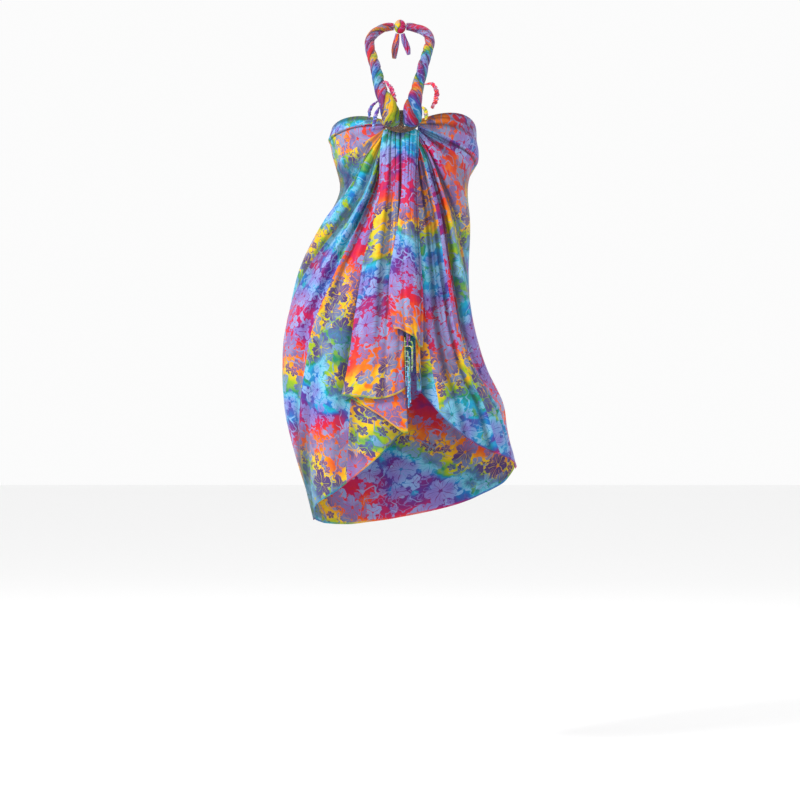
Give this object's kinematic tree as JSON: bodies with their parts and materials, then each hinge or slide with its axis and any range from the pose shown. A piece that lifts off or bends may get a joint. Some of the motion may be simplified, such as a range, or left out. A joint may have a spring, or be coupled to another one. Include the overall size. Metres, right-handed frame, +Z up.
{
  "type": "halter-tied sarong with shell buckle",
  "caption": "Batik rayon sarong wrapped as a halter dress, gathered at an oval coconut-shell buckle, with twisted neck straps and fringed zigzag ends.",
  "frame": {"origin": "inner side of the knot at the nape, where the neck of the wearer holds the sarong up", "axes": "+Z up, -Y is the front of the garment, +X is the viewer's right (the wearer's left)"},
  "size_m": [0.4671, 0.3141, 1.0482],
  "materials": {
    "batik_cloth": "soft sheen, hand-dyed print",
    "fringe_yarn": "twisted yarn",
    "coconut_shell": "lacquered"
  },
  "bodies": {
    "root": {"left_panel": "batik_cloth", "left_underfold": "batik_cloth", "left_flap": "batik_cloth", "right_panel": "batik_cloth", "right_underfold": "batik_cloth", "right_flap": "batik_cloth", "back_wrap": "batik_cloth", "left_strap": "batik_cloth", "right_strap": "batik_cloth", "neck_knot": "batik_cloth", "left_tail": "batik_cloth", "right_tail": "batik_cloth", "buckle": "coconut_shell", "left_fringe": "fringe_yarn", "right_fringe": "fringe_yarn", "strap_tassel_1": "fringe_yarn", "strap_tassel_2": "fringe_yarn", "strap_tassel_3": "fringe_yarn", "strap_tassel_4": "fringe_yarn", "strap_tassel_5": "fringe_yarn"}
  },
  "joints": []
}
